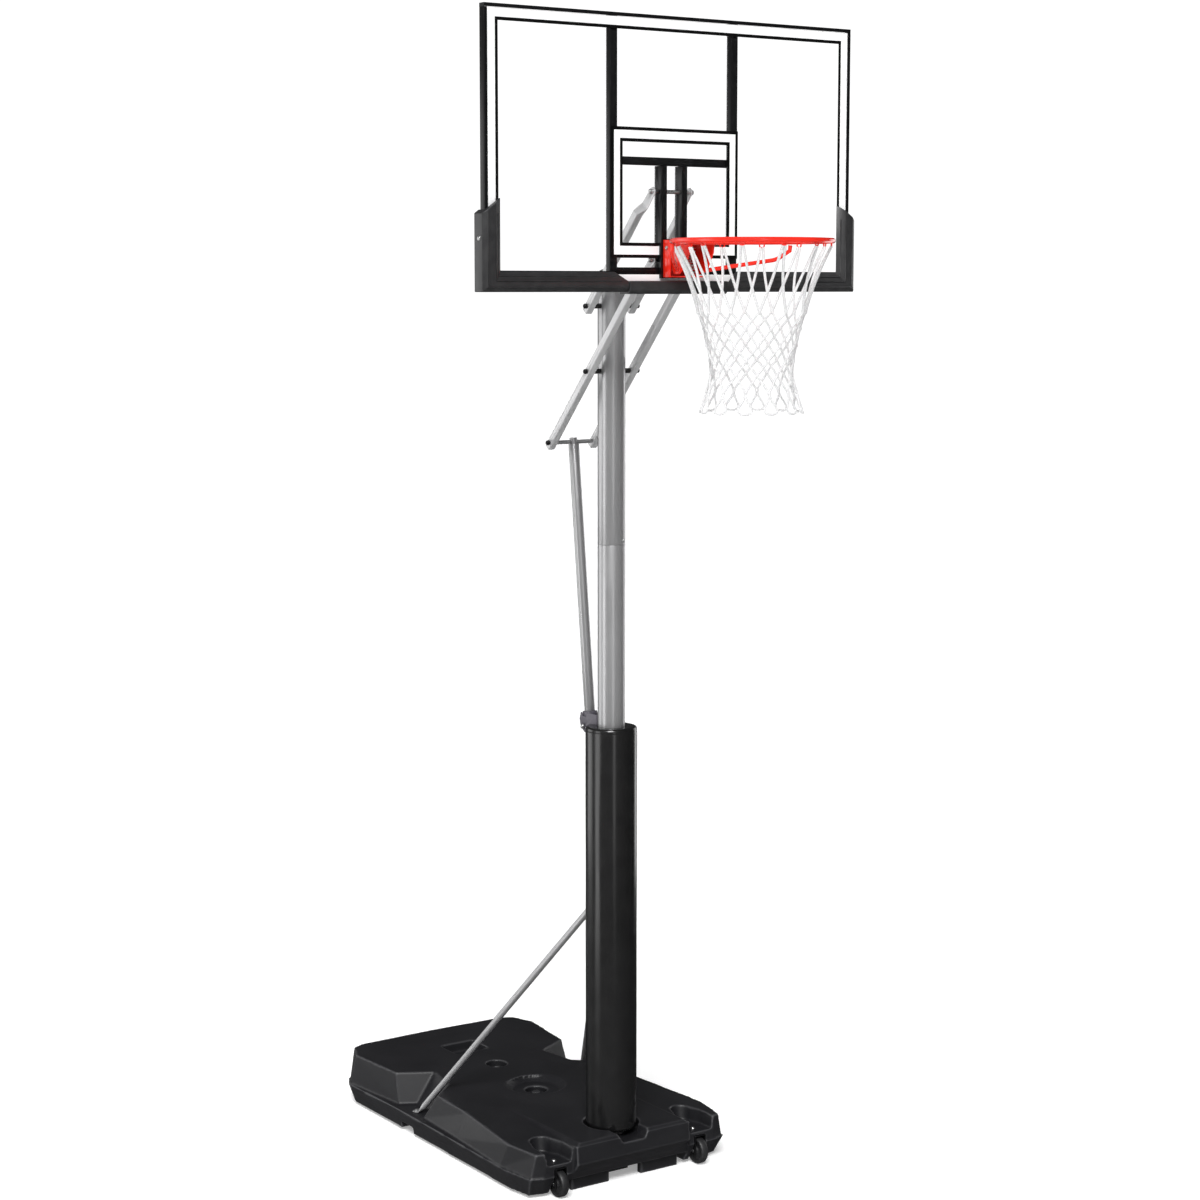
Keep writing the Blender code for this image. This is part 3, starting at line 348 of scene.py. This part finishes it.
def welded_copy(node):
    mesh = frame["nodes"][node].data.copy()
    shape = bmesh.new()
    shape.from_mesh(mesh)
    bmesh.ops.remove_doubles(shape, verts=shape.verts, dist=0.00002)
    limit = math.radians(0.5)
    bmesh.ops.dissolve_limit(shape, angle_limit=limit, verts=shape.verts, edges=shape.edges)
    shape.to_mesh(mesh)
    shape.free()
    return mesh


def dress(node, bevel=0.0008, segments=2, look=None):
    """A copy of a CAD node with rounded edges, which stands for it."""
    mesh = welded_copy(node)
    scratch = bpy.data.objects.new("scratch", mesh)
    bpy.context.scene.collection.objects.link(scratch)
    edge = scratch.modifiers.new("edge", "BEVEL")
    edge.width = bevel
    edge.segments = segments
    edge.limit_method = "ANGLE"
    edge.angle_limit = math.radians(32)
    edge.use_clamp_overlap = True
    shaped = finished_mesh(scratch)
    bpy.data.objects.remove(scratch)
    smooth_by_angle(shaped)
    piece = add_piece(f"{node}_shape", shaped, BODY[node], SLOT[node], look)
    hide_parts(node)
    return piece


def from_bmesh(name, shape, body, slot, look=None, angle=35):
    bmesh.ops.recalc_face_normals(shape, faces=shape.faces)
    mesh = bpy.data.meshes.new(name)
    shape.to_mesh(mesh)
    shape.free()
    smooth_by_angle(mesh, angle)
    return add_piece(name, mesh, body, slot, look)


def aim(start, direction):
    turn = Vector((0, 0, 1)).rotation_difference(Vector(direction)).to_matrix().to_4x4()
    return Matrix.Translation(start) @ turn


def add_turned(shape, profile, matrix, steps=24):
    """Faces of a turned form whose profile runs from its axis at the top to its axis below."""
    rings = []
    for radius, height in profile:
        if radius == 0:
            rings.append([shape.verts.new(matrix @ Vector((0, 0, height)))])
            continue
        angles = [2 * math.pi * i / steps for i in range(steps)]
        rings.append([shape.verts.new(matrix @ Vector((radius * math.cos(a),
                                                       radius * math.sin(a), height)))
                      for a in angles])
    for upper, lower in zip(rings, rings[1:]):
        for i in range(steps):
            j = (i + 1) % steps
            if len(upper) == 1:
                shape.faces.new((upper[0], lower[i], lower[j]))
            elif len(lower) == 1:
                shape.faces.new((upper[i], lower[0], upper[j]))
            else:
                shape.faces.new((upper[i], lower[i], lower[j], upper[j]))


def add_box(shape, low, high):
    low, high = Vector(low), Vector(high)
    size = Matrix.Diagonal((*(high - low), 1.0))
    bmesh.ops.create_cube(shape, size=1.0, matrix=Matrix.Translation((low + high) / 2) @ size)


def add_hex_head(shape, place, direction, across, height):
    matrix = aim(place, direction)
    radius = across / math.sqrt(3)
    profile = [(0, height), (radius * 0.86, height), (radius, height * 0.82), (radius, 0), (0, 0)]
    add_turned(shape, profile, matrix, 6)


def add_dome_head(shape, place, direction, radius, height):
    profile = [(0, height), (radius * 0.45, height * 0.93), (radius * 0.78, height * 0.66),
               (radius * 0.95, height * 0.30), (radius, 0.0002), (radius * 0.98, 0), (0, 0)]
    add_turned(shape, profile, aim(place, direction), 20)


def wire(name, runs, radius, body, slot, look=None, closed=False, resolution=3):
    """Round wire along one or more runs of points, as one mesh."""
    curve = bpy.data.curves.new(name, "CURVE")
    curve.dimensions = "3D"
    curve.bevel_depth = radius
    curve.bevel_resolution = resolution
    curve.use_fill_caps = True
    for points in runs:
        spline = curve.splines.new("POLY")
        spline.points.add(len(points) - 1)
        spline.use_cyclic_u = closed
        for target, point in zip(spline.points, points):
            target.co = (*point, 1.0)
    scratch = bpy.data.objects.new(name, curve)
    bpy.context.scene.collection.objects.link(scratch)
    mesh = finished_mesh(scratch)
    bpy.data.objects.remove(scratch)
    mesh.shade_smooth()
    return add_piece(name, mesh, body, slot, look)


# ---------------------------------------------------------------- tank

def make_tank():
    """The moulded tank: its CAD form with every edge rounded, as blow moulding leaves it."""
    scratch = bpy.data.objects.new("scratch", frame["nodes"]["base_tank"].data.copy())
    bpy.context.scene.collection.objects.link(scratch)
    skin = scratch.modifiers.new("skin", "REMESH")
    skin.mode = "VOXEL"
    skin.voxel_size = 0.0040
    soften = scratch.modifiers.new("soften", "SMOOTH")
    soften.factor = 0.5
    soften.iterations = 2
    mesh = finished_mesh(scratch)
    bpy.data.objects.remove(scratch)
    mesh.shade_smooth()
    piece = add_piece("tank_moulding", mesh, "base", "tank_plastic")
    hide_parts("base_tank")


# ---------------------------------------------------------------- pads

def make_pole_pad():
    """A foam sleeve in glossy vinyl, a little uneven, with rolled ends and a hemmed top."""
    low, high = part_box("pole_pad")
    outer = (high.x - low.x) / 2
    rows, steps = 90, 72
    open_angle = math.asin(PAD_OPENING / outer)
    top, bottom = high.z, low.z
    shape = bmesh.new()

    def radius_at(angle, height):
        puff = noise.noise(Vector((2.2 * math.cos(angle), 2.2 * math.sin(angle), height * 3.5)))
        end = min(top - height, height - bottom)
        roll = PAD_ROLL * (1 - math.sqrt(max(0.0, 1 - (1 - min(1, end / PAD_ROLL)) ** 2)))
        hem = HEM_DEPTH * math.exp(-((top - PAD_HEM - height) / HEM_WIDTH) ** 2)
        return outer - PAD_INSET - roll - hem + PAD_PUFF * puff

    last = PAD_END_ROWS[-1]
    span = top - bottom - 2 * last
    heights = [bottom + row for row in PAD_END_ROWS]
    heights += [bottom + last + span * i / rows for i in range(1, rows)]
    heights += [top - row for row in reversed(PAD_END_ROWS)]
    first = math.pi / 2 + open_angle
    angles = [first + (2 * math.pi - 2 * open_angle) * i / steps for i in range(steps + 1)]
    skin = [[Vector((math.cos(a) * radius_at(a, h), math.sin(a) * radius_at(a, h), h))
             for a in angles] for h in heights]
    lining = [[Vector((math.cos(a) * PAD_LINING, math.sin(a) * PAD_LINING, h)) for a in angles]
              for h in (top - 0.001, bottom + 0.001)]
    loops = [[shape.verts.new(p) for p in ring] for ring in skin + lining]
    loops.append(loops[0])
    for lower, upper in zip(loops, loops[1:]):
        for i in range(steps):
            shape.faces.new((lower[i], lower[i + 1], upper[i + 1], upper[i]))
    for column in (0, steps):
        shape.faces.new([ring[column] for ring in loops[:-1]])
    pad = from_bmesh("pole_pad_skin", shape, "base", "pad_vinyl", angle=50)
    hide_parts("pole_pad")


def make_board_pads():
    """Moulded foam with soft edges, and the ridges that run round each corner pad."""
    for node in ("board_pad_left", "board_pad_right", "board_pad_centre"):
        dress(node, 0.0028, 4)
    for side, word in ((-1, "left"), (1, "right")):
        low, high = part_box(f"board_pad_{word}")
        outer, seam = high.x if side > 0 else -low.x, low.x if side > 0 else -high.x
        runs = []
        for low_inset, side_inset, y in PAD_RIDGES:
            start = (side * (seam + RIDGE_END), y, low.z + low_inset)
            corner = (side * (outer - side_inset), y, low.z + low_inset)
            runs.append([start, corner, (corner[0], y, high.z - RIDGE_END * 1.6)])
        wire(f"pad_ridges_{word}", runs, 0.0022, "board", "edge_pad")


def make_frame_corners():
    """Small plates that close the frame's four corners."""
    low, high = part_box("frame_top")
    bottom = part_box("frame_bottom")[0].z
    sheet, margin, height = 0.0022, 0.001, 0.013
    shape = bmesh.new()
    for side in (-1, 1):
        x_low, x_high = sorted((side * high.x, side * (high.x - sheet)))
        for z_low, z_high in ((bottom + margin, bottom + height),
                              (high.z - height, high.z - margin)):
            add_box(shape, (x_low, low.y + margin, z_low), (x_high, high.y, z_high))
    from_bmesh("frame_corners", shape, "board", "black_steel")


def make_plate_spacer():
    """The black sleeve between the clear panel and the rim's plate."""
    low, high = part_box("rim_plate")
    side, edge, depth = 0.008, 0.003, 0.0102
    outer = [(low.x - side, low.z - edge), (high.x + side, low.z - edge),
             (high.x + side, high.z + edge), (low.x - side, high.z + edge)]
    inner = [(low.x, low.z), (high.x, low.z), (high.x, high.z), (low.x, high.z)]
    shape = bmesh.new()
    front, back = high.y - depth, high.y
    loops = [[shape.verts.new((x, y, z)) for x, z in outline] for outline, y in
             ((outer, front), (outer, back), (inner, back), (inner, front))]
    for i in range(4):
        ring, following = loops[i], loops[(i + 1) % 4]
        for j in range(4):
            k = (j + 1) % 4
            shape.faces.new((ring[j], ring[k], following[k], following[j]))
    from_bmesh("plate_spacer", shape, "board", "black_steel")


# ---------------------------------------------------------------- printed lines

def add_frame_line(shape, outer, inner, y):
    """A flat band between two rectangles, each (half width, low z, high z)."""
    def corners(size, depth):
        half, low, high = size
        return [shape.verts.new((x, depth, z)) for x, z in
                ((-half, low), (half, low), (half, high), (-half, high))]
    front = (corners(outer, y), corners(inner, y))
    back = (corners(outer, y + INK_THICKNESS), corners(inner, y + INK_THICKNESS))
    for i in range(4):
        j = (i + 1) % 4
        shape.faces.new((front[0][i], front[0][j], front[1][j], front[1][i]))
        shape.faces.new((back[0][j], back[0][i], back[1][i], back[1][j]))
        shape.faces.new((front[0][j], front[0][i], back[0][i], back[0][j]))
        shape.faces.new((front[1][i], front[1][j], back[1][j], back[1][i]))


def inset(size, by):
    """A rectangle shrunk by the same amount on every side."""
    half, low, high = size
    return (half - by, low + by, high - by)


def make_print():
    """The white border and target, each edged with thin black lines."""
    low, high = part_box("acrylic_panel")
    half = BORDER_LINE[1]
    edge = high.x - half
    border_outer = (half, low.z + edge, high.z - edge)
    band = BORDER_LINE[1] - BORDER_LINE[0]
    border_inner = inset(border_outer, band)
    y = low.y - INK_THICKNESS - 0.00003
    white = bmesh.new()
    add_frame_line(white, border_outer, inset(border_inner, -INK_LINE), y)
    add_frame_line(white, inset(TARGET_OUTER, INK_LINE), inset(TARGET_INNER, -INK_LINE), y)
    from_bmesh("white_lines", white, "board", "clear_acrylic", WHITE_INK)
    black = bmesh.new()
    add_frame_line(black, inset(border_inner, -INK_LINE), border_inner, y)
    add_frame_line(black, TARGET_OUTER, inset(TARGET_OUTER, INK_LINE), y)
    add_frame_line(black, inset(TARGET_INNER, -INK_LINE), TARGET_INNER, y)
    from_bmesh("black_lines", black, "board", "clear_acrylic", BLACK_INK)


# ---------------------------------------------------------------- net

def ring_shape():
    """The ring's centre, the radius of its middle line, and its rod's radius."""
    low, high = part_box("rim_ring")
    rod = (high.z - low.z) / 2
    return (low + high) / 2, (high.x - low.x) / 2 - rod, rod


def on_net(centre, angle, depth, radius):
    return centre + Vector((radius * math.cos(angle), radius * math.sin(angle), -depth))


def between(start, end, bend, count=6):
    """Points from start to end, bowed sideways by a vector at the middle."""
    points = []
    for i in range(count + 1):
        t = i / count
        points.append(start.lerp(end, t) + bend * math.sin(math.pi * t))
    return points


def stray(place):
    """A vector that varies smoothly with the place, and is the same each run."""
    offsets = (Vector((0, 0, 0)), Vector((19.3, 0, 7.1)), Vector((0, 37.9, 3.7)))
    return Vector([noise.noise(place + offset) for offset in offsets])


def make_net():
    """Knotted cords: long strands from the hooks, diamonds, then open loops at the hem."""
    centre, ring_radius, rod = ring_shape()
    step = 2 * math.pi / NET_HOOKS
    hook_depth = rod + HOOK_DROP - HOOK_SINK
    strands, runs, knots = [], [], []
    for i in range(NET_HOOKS):
        angle = (i + 0.5) * step
        hook = on_net(centre, angle, hook_depth, ring_radius - HOOK_INSET)
        depth, radius = NET_ROWS[0]
        for side in (-1, 1):
            knot = on_net(centre, angle + side * step / 2, depth, radius)
            inward = Vector((math.cos(angle), math.sin(angle), 0)) * -STRAND_BOW
            tangent = Vector((-math.sin(angle), math.cos(angle), 0)) * side
            strands.append(between(hook + tangent * STRAND_SPREAD, knot,
                                   inward - tangent * STRAND_BOW, 8))
    for row, ((depth, radius), (next_depth, next_radius)) in enumerate(zip(NET_ROWS, NET_ROWS[1:])):
        for i in range(NET_HOOKS):
            angle = (i + (row % 2) * 0.5) * step
            knot = on_net(centre, angle, depth, radius)
            knots.append((knot, angle))
            for side in (-1, 1):
                below = on_net(centre, angle + side * step / 2, next_depth, next_radius)
                wander = stray(knot * 31.0 + Vector((side, 0, 0))) * CORD_WANDER
                runs.append(between(knot, below, wander, 4))
    depth, radius = NET_ROWS[-1]
    low_depth, low_radius = NET_BOTTOM
    shift = 0.5 * ((len(NET_ROWS) - 1) % 2)
    for i in range(NET_HOOKS):
        angle = (i + shift) * step
        knot = on_net(centre, angle, depth, radius)
        knots.append((knot, angle))
        loop = []
        for j in range(17):
            t = j / 16
            sweep = math.sin(2 * math.pi * t) * math.sin(math.pi * t) * LOOP_SWEEP
            drop = math.sin(math.pi * t)
            loop.append(on_net(centre, angle + sweep * step * LOOP_WIDTH,
                               depth + (low_depth - depth) * drop,
                               radius + (low_radius - radius) * drop))
        runs.append(loop)
    net = wire("net_cords", runs, CORD_RADIUS, "rim", "net_cord", resolution=2)
    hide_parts("net")
    wire("net_strands", strands, STRAND_RADIUS, "rim", "net_cord", resolution=2)
    shape = bmesh.new()
    for place, angle in knots:
        turn = Matrix.Rotation(angle, 4, "Z")
        size = Matrix.Diagonal((*KNOT_SIZE, 1.0))
        bmesh.ops.create_icosphere(shape, subdivisions=2, radius=1.0,
                                   matrix=Matrix.Translation(place) @ turn @ size)
    from_bmesh("net_knots", shape, "rim", "net_cord", angle=80)


def make_hooks():
    """Wire loops welded under the ring that the net's strands hang from."""
    centre, ring_radius, rod = ring_shape()
    runs = []
    for i in range(NET_HOOKS):
        angle = (i + 0.5) * 2 * math.pi / NET_HOOKS
        run = []
        for j in range(11):
            turn = math.pi * (1.0 + j / 10)
            across = HOOK_HALF_WIDTH * math.cos(turn)
            down = rod - HOOK_SINK + HOOK_DROP * math.sqrt(max(0.0, -math.sin(turn)))
            run.append(on_net(centre, angle + across / ring_radius, down,
                              ring_radius - HOOK_INSET))
        runs.append(run)
    wire("net_hooks", runs, HOOK_RADIUS, "rim", "rim_steel")


# ---------------------------------------------------------------- spring and fasteners

def make_spring():
    """The coil that returns the rim, built at one fixed length; the real one shortens as the rim
    gives way.
    """
    low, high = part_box("rim_spring")
    centre = (low + high) / 2
    gauge, turns, steps = 0.0019, 8.5, 200
    radius = (high.x - low.x) / 2 - gauge
    span = high.z - low.z - 2 * gauge
    run = []
    for i in range(steps + 1):
        t = i / steps
        angle = 2 * math.pi * turns * t
        run.append(Vector((centre.x + radius * math.cos(angle), centre.y + radius * math.sin(angle),
                           low.z + gauge + span * t)))
    spring = wire("spring_coil", [run], gauge, "board", "zinc_steel")
    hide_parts("rim_spring")
    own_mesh(spring)


def make_base_fasteners():
    """Screws at the pole's seams and over the wheels, and a nut on each brace's foot."""
    pole = (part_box("pole_upper")[1].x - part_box("pole_upper")[0].x) / 2
    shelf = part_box("wheel_bracket_left")[1].z + WHEEL_SHELF
    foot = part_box("brace_right")[0].z + 0.0040
    shape = bmesh.new()
    for height in (SEAM_SCREW_Z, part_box("pole_middle")[0].z + 0.024):
        for azimuth in SEAM_SCREW_AZIMUTHS:
            out = Vector((math.cos(azimuth), math.sin(azimuth), 0))
            place = out * (pole - 0.0003) + Vector((0, 0, height))
            add_dome_head(shape, place, out, 0.0052, 0.0030)
    for side in (-1, 1):
        screw = (side * WHEEL_SCREW[0], WHEEL_SCREW[1], shelf)
        add_dome_head(shape, screw, (0, 0, 1), 0.0085, 0.0062)
        nut = Vector((side * BRACE_NUT[0], BRACE_NUT[1], foot))
        add_hex_head(shape, nut, (0, 0, 1), 0.013, 0.0055)
    from_bmesh("base_fasteners", shape, "base", "zinc_steel")


def make_board_fasteners():
    """Screws in the upright bars and at the ends of the corner pads."""
    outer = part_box("board_pad_right")[1].x - 0.0004
    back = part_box("board_bar_right")[1].y
    bars = bmesh.new()
    pads = bmesh.new()
    for side in (-1, 1):
        add_dome_head(pads, (side * outer, *PAD_SCREW), (side, 0, 0), 0.0080, 0.0036)
        for height in BAR_SCREW_HEIGHTS:
            add_dome_head(bars, (side * BAR_SCREW_X, back, height), (0, 1, 0), 0.0062, 0.0034)
    from_bmesh("board_fasteners", bars, "board", "black_steel")
    from_bmesh("pad_screws", pads, "board", "zinc_steel")


def make_rim_bolts():
    """Four bolts that hold the rim's plate to the board."""
    low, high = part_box("rim_plate")
    shape = bmesh.new()
    for side in (-1, 1):
        for height in (low.z + 0.030, high.z - 0.022):
            place = (side * RIM_BOLT_X, high.y - 0.0042, height)
            add_hex_head(shape, place, (0, -1, 0), 0.013, 0.006)
    from_bmesh("rim_bolts", shape, "board", "zinc_steel")


# ---------------------------------------------------------------- studio

def stage_mesh(name, shape, look):
    mesh = bpy.data.meshes.new(name)
    shape.to_mesh(mesh)
    shape.free()
    mesh.materials.append(look)
    obj = bpy.data.objects.new(name, mesh)
    bpy.context.scene.collection.objects.link(obj)
    return obj


def make_floor():
    shape = bmesh.new()
    bmesh.ops.create_circle(shape, cap_ends=True, segments=96, radius=60.0)
    bmesh.ops.translate(shape, verts=shape.verts, vec=(0, 0, -0.0005))
    look, _, shader = new_material("pale_floor")
    shader.inputs["Base Color"].default_value = (0.90, 0.90, 0.90, 1)
    shader.inputs["Roughness"].default_value = 0.9
    shader.inputs["Specular IOR Level"].default_value = 0.0
    shader.inputs["Emission Color"].default_value = (1, 1, 1, 1)
    shader.inputs["Emission Strength"].default_value = 0.30
    floor = stage_mesh("floor", shape, look)
    floor.visible_glossy = False


def make_backdrop():
    """A white dome that only straight views reach, so that it casts no light."""
    shape = bmesh.new()
    bmesh.ops.create_uvsphere(shape, u_segments=48, v_segments=24, radius=70.0)
    look, _, shader = new_material("white_backdrop")
    shader.inputs["Base Color"].default_value = (0, 0, 0, 1)
    shader.inputs["Specular IOR Level"].default_value = 0.0
    shader.inputs["Emission Color"].default_value = (1, 1, 1, 1)
    shader.inputs["Emission Strength"].default_value = 1.1
    dome = stage_mesh("backdrop", shape, look)
    dome.visible_diffuse = False
    dome.visible_glossy = False
    dome.visible_shadow = False


def add_lamp(name, kind, place, target, power):
    data = bpy.data.lights.new(name, kind)
    data.energy = power
    lamp = bpy.data.objects.new(name, data)
    bpy.context.scene.collection.objects.link(lamp)
    lamp.location = place
    lamp.rotation_euler = (Vector(target) - Vector(place)).to_track_quat("-Z", "Y").to_euler()
    lamp.visible_camera = False
    lamp.visible_transmission = False
    return data


def soft_box(name, place, target, size, radiance):
    """A rectangular lamp of a given brightness."""
    power = radiance * math.pi * size[0] * size[1]
    data = add_lamp(name, "AREA", place, target, power)
    data.shape = "RECTANGLE"
    data.size, data.size_y = size


def make_sky():
    """Dim light from all round, brighter from the camera's left."""
    world = bpy.data.worlds.new("studio")
    bpy.context.scene.world = world
    world.use_nodes = True
    tree = world.node_tree
    sky = tree.nodes["Background"]
    sky.inputs["Color"].default_value = (1, 1, 1, 1)
    place = tree.nodes.new("ShaderNodeTexCoord")
    toward = tree.nodes.new("ShaderNodeVectorMath")
    toward.operation = "DOT_PRODUCT"
    toward.inputs[1].default_value = (-0.90, -0.42, 0.0)
    tree.links.new(place.outputs["Generated"], toward.inputs[0])
    tree.links.new(remap(tree, toward.outputs["Value"], 0.03, 0.27, -1.0, 1.0),
                   sky.inputs["Strength"])


def make_studio():
    make_sky()
    add_lamp("key", "SUN", (-4.2, -5.6, 7.0), (0, 0, 0), 3.4).angle = math.radians(25)
    for name, place, target, size, radiance in SOFT_BOXES:
        soft_box(name, place, target, size, radiance)
    bpy.context.scene.view_settings.view_transform = "Standard"


def make_camera():
    data = bpy.data.cameras.new("camera")
    data.lens, data.sensor_width = LENS, SENSOR
    camera = bpy.data.objects.new("camera", data)
    bpy.context.scene.collection.objects.link(camera)
    camera.location = CAMERA_PLACE
    camera.rotation_euler = (CAMERA_TILT, 0, CAMERA_TURN)
    bpy.context.scene.camera = camera


# ---------------------------------------------------------------- build

SHAPED_APART = {"base_tank", "pole_pad", "board_pad_left", "board_pad_right",
                "board_pad_centre", "net", "rim_spring"}


def main():
    make_camera()
    make_studio()
    make_floor()
    make_backdrop()
    make_tank()
    make_pole_pad()
    make_board_pads()
    make_plate_spacer()
    make_frame_corners()
    make_print()
    make_net()
    make_hooks()
    make_spring()
    make_base_fasteners()
    make_board_fasteners()
    make_rim_bolts()
    for node in sorted(set(BODY) - SHAPED_APART):
        # The arms take the lighter copy of the silver coat: painted light.
        painted_light_arm = node.startswith(("lower_arm", "upper_arm"))
        dress(node, look=ARM_SILVER_PAINTED_LIGHT if painted_light_arm else None)


main()
